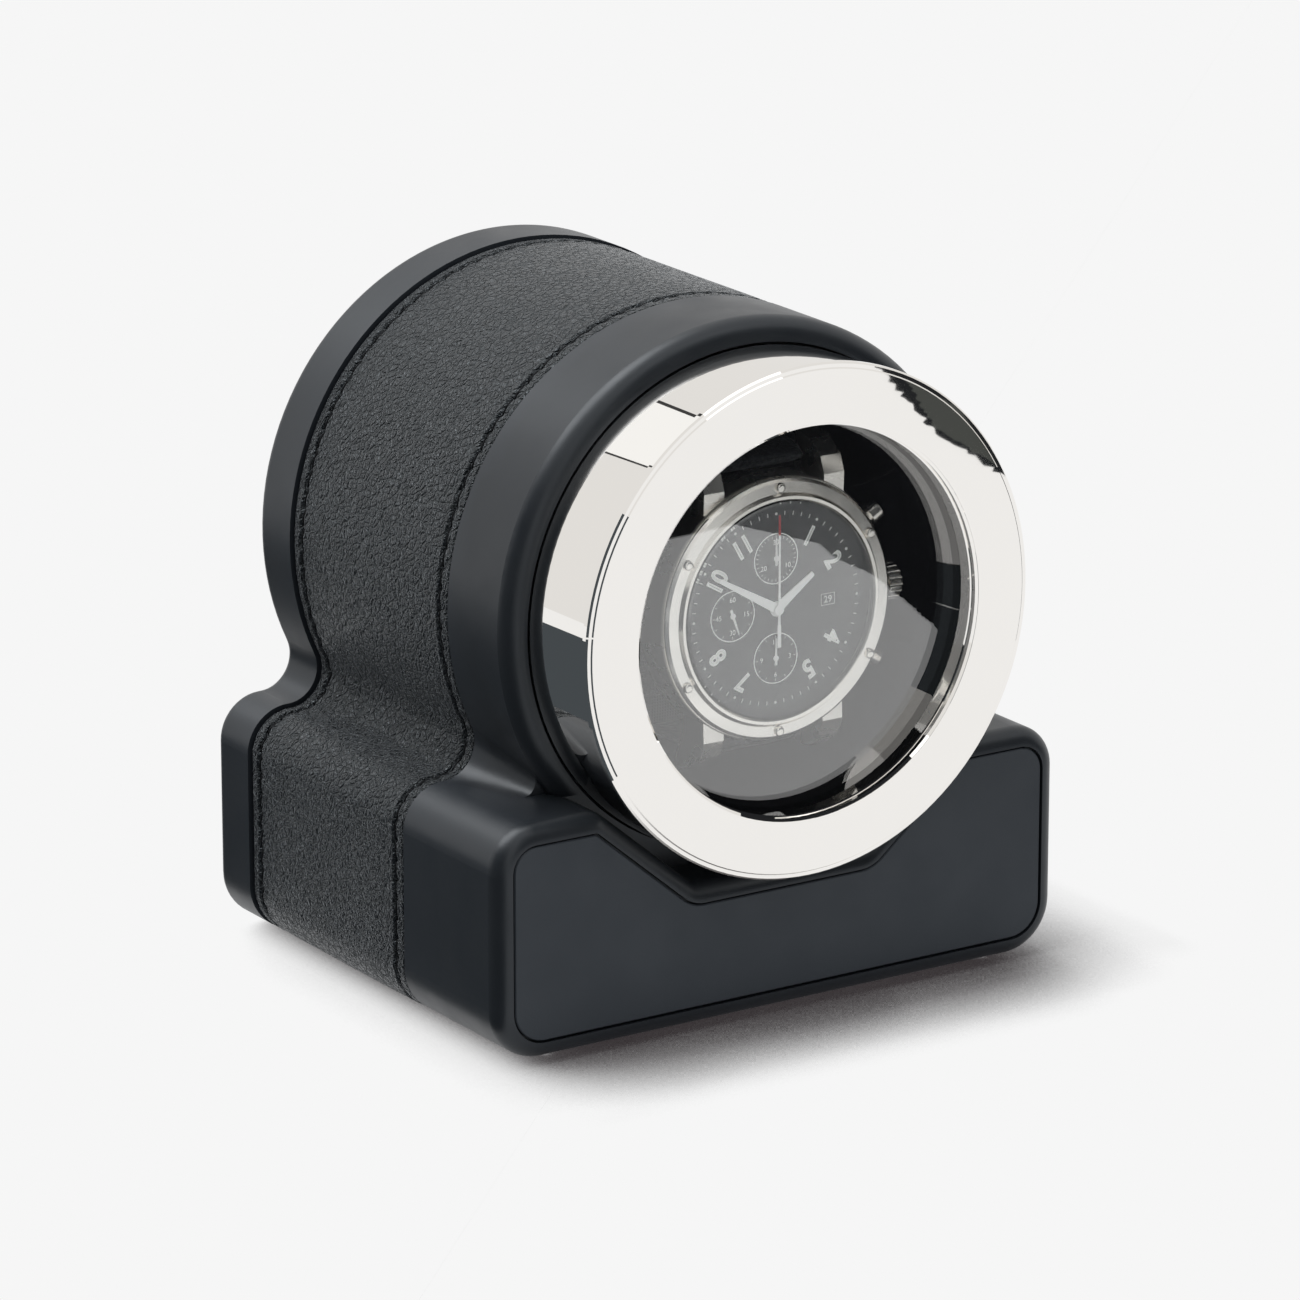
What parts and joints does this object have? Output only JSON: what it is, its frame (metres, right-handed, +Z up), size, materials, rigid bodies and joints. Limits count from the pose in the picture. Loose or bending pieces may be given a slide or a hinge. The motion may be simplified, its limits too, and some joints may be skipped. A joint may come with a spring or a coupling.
{
  "type": "watch winder",
  "caption": "Single watch winder: a leather-banded drum on a wide foot, with a chrome barrel, a glazed pull-off lid and a motor-turned cup that holds a watch on a sprung cushion.",
  "frame": {"origin": "on the resting surface, under the middle of the object's box", "axes": "+X right as seen from the front, +Y from the front to the rear, +Z up"},
  "size_m": [0.1112, 0.097, 0.1155],
  "materials": {
    "shell_plastic": "soft-touch charcoal moulding, fine matt texture",
    "panel_plastic": "soft-touch charcoal inlay",
    "leather": "black-navy pebbled calf with stitched edges",
    "frame_plastic": "black structural moulding",
    "rubber": "black rubber",
    "chrome": "polished nickel-chrome",
    "steel": "polished and brushed watch steel",
    "screw_steel": "blackened steel",
    "lens_glass": "clear, gently domed lens",
    "crystal_glass": "clear watch crystal",
    "cup_plastic": "black gloss moulding",
    "cushion_fabric": "dark grey fine woven cover",
    "white_plastic": "natural acetal",
    "bronze": "sintered bronze",
    "brass": "machined brass",
    "spring_steel": "spring steel",
    "board_green": "green solder mask",
    "part_black": "black component bodies",
    "cell_wrap": "plain dark cell jackets",
    "light_clear": "clear light pipe",
    "dial_black": "sunburst charcoal dial",
    "hand_steel": "polished hands"
  },
  "bodies": {
    "housing": {"front_shell": "shell_plastic", "front_panel": "panel_plastic", "rear_shell": "shell_plastic", "leather_band": "leather", "core_frame": "frame_plastic", "base_plate": "frame_plastic", "rubber_feet": "rubber", "housing_screws": "screw_steel", "small_screws": "screw_steel", "battery_tray": "frame_plastic", "batteries": "cell_wrap", "battery_contacts": "spring_steel", "chrome_barrel": "chrome", "barrel_gasket": "rubber", "motor_plate": "frame_plastic", "shaft_bearings": "bronze", "gearbox": "steel", "motor": "steel", "circuit_board": "board_green", "board_parts": "part_black", "power_jack": "part_black", "switch_body": "part_black", "status_light": "light_clear"},
    "lid": {"bezel_ring": "chrome", "lens": "lens_glass", "lens_gasket": "rubber", "lens_retainer": "cup_plastic", "lid_seal": "rubber"},
    "rotor": {"rotor_cup": "cup_plastic", "hub_screw": "screw_steel", "rotor_shaft": "steel", "shaft_clip": "spring_steel", "rotor_gear": "white_plastic"},
    "pinion": {"motor_pinion": "brass"},
    "watch_holder": {"cushion": "cushion_fabric", "cushion_core": "frame_plastic", "cushion_springs": "spring_steel", "watch_case": "steel", "case_back": "steel", "watch_bezel": "steel", "bezel_screws": "steel", "watch_crystal": "crystal_glass", "watch_dial": "dial_black", "watch_strap": "leather", "strap_buckle": "steel"},
    "pad_left": {"side_pad_left": "frame_plastic"},
    "pad_right": {"side_pad_right": "frame_plastic"},
    "door": {"battery_door": "frame_plastic"},
    "slider": {"mode_switch": "part_black"},
    "button": {"programme_button": "frame_plastic"},
    "hours": {"hour_hand": "hand_steel"},
    "minutes": {"minute_hand": "hand_steel"},
    "sweep": {"sweep_hand": "hand_steel"},
    "small_seconds": {"seconds_small_hand": "hand_steel"},
    "counter_minutes": {"minutes_small_hand": "hand_steel"},
    "counter_hours": {"hours_small_hand": "hand_steel"},
    "crown": {"watch_crown": "steel"},
    "push_upper": {"pusher_upper": "steel"},
    "push_lower": {"pusher_lower": "steel"}
  },
  "joints": [
    {"name": "cup_turn", "type": "hinge", "parent": "housing", "child": "rotor", "pos_m": [0, 0.02, 0.0688], "axis": [0, 1, 0], "continuous": true},
    {"name": "pinion_turn", "type": "hinge", "parent": "housing", "child": "pinion", "pos_m": [0, 0.02, 0.0528], "axis": [0, 1, 0], "continuous": true},
    {"name": "lid_pull", "type": "slide", "parent": "housing", "child": "lid", "axis": [0, -1, 0], "range_m": [0, 0.09]},
    {"name": "cushion_pull", "type": "slide", "parent": "rotor", "child": "watch_holder", "axis": [0, -1, 0], "range_m": [0, 0.045]},
    {"name": "pad_left_press", "type": "slide", "parent": "watch_holder", "child": "pad_left", "axis": [1, 0, 0], "range_m": [0, 0.003], "stiffness_N_per_m": 900, "springref_m": -0.002},
    {"name": "pad_right_press", "type": "slide", "parent": "watch_holder", "child": "pad_right", "axis": [-1, 0, 0], "range_m": [0, 0.003], "stiffness_N_per_m": 900, "springref_m": -0.002},
    {"name": "door_open", "type": "hinge", "parent": "housing", "child": "door", "pos_m": [0, 0.024, 0.0018], "axis": [1, 0, 0], "range_deg": [0, 100]},
    {"name": "mode_slide", "type": "slide", "parent": "housing", "child": "slider", "axis": [1, 0, 0], "range_m": [-0.002, 0.002]},
    {"name": "button_press", "type": "slide", "parent": "housing", "child": "button", "axis": [0, -1, 0], "range_m": [0, 0.0009], "stiffness_N_per_m": 1200, "springref_m": -0.001},
    {"name": "minutes_turn", "type": "hinge", "parent": "watch_holder", "child": "minutes", "pos_m": [0, -0.0374, 0.0688], "axis": [0, 1, 0], "continuous": true},
    {"name": "hours_turn", "type": "hinge", "parent": "watch_holder", "child": "hours", "pos_m": [0, -0.0374, 0.0688], "axis": [0, 1, 0], "continuous": true},
    {"name": "sweep_turn", "type": "hinge", "parent": "watch_holder", "child": "sweep", "pos_m": [0, -0.0374, 0.0688], "axis": [0, 1, 0], "continuous": true},
    {"name": "small_seconds_turn", "type": "hinge", "parent": "watch_holder", "child": "small_seconds", "pos_m": [-0.0084, -0.0374, 0.0688], "axis": [0, 1, 0], "continuous": true},
    {"name": "counter_minutes_turn", "type": "hinge", "parent": "watch_holder", "child": "counter_minutes", "pos_m": [0, -0.0374, 0.0772], "axis": [0, 1, 0], "continuous": true},
    {"name": "counter_hours_turn", "type": "hinge", "parent": "watch_holder", "child": "counter_hours", "pos_m": [0, -0.0374, 0.0604], "axis": [0, 1, 0], "continuous": true},
    {"name": "crown_turn", "type": "hinge", "parent": "watch_holder", "child": "crown", "pos_m": [0.024, -0.0342, 0.0688], "axis": [1, 0, 0], "continuous": true},
    {"name": "pusher_upper_press", "type": "slide", "parent": "watch_holder", "child": "push_upper", "axis": [-0.866, 0, -0.5], "range_m": [0, 0.0009], "stiffness_N_per_m": 600, "springref_m": -0.001},
    {"name": "pusher_lower_press", "type": "slide", "parent": "watch_holder", "child": "push_lower", "axis": [-0.866, 0, 0.5], "range_m": [0, 0.0009], "stiffness_N_per_m": 600, "springref_m": -0.001}
  ],
  "couplings": [
    {"joint": "pinion_turn", "follows": "cup_turn", "ratio": -3},
    {"joint": "cushion_pull", "follows": "lid_pull", "ratio": 0.5},
    {"joint": "hours_turn", "follows": "minutes_turn", "ratio": 0.083333},
    {"joint": "small_seconds_turn", "follows": "minutes_turn", "ratio": 60},
    {"joint": "counter_minutes_turn", "follows": "sweep_turn", "ratio": 0.033333},
    {"joint": "counter_hours_turn", "follows": "sweep_turn", "ratio": 0.0013889}
  ]
}
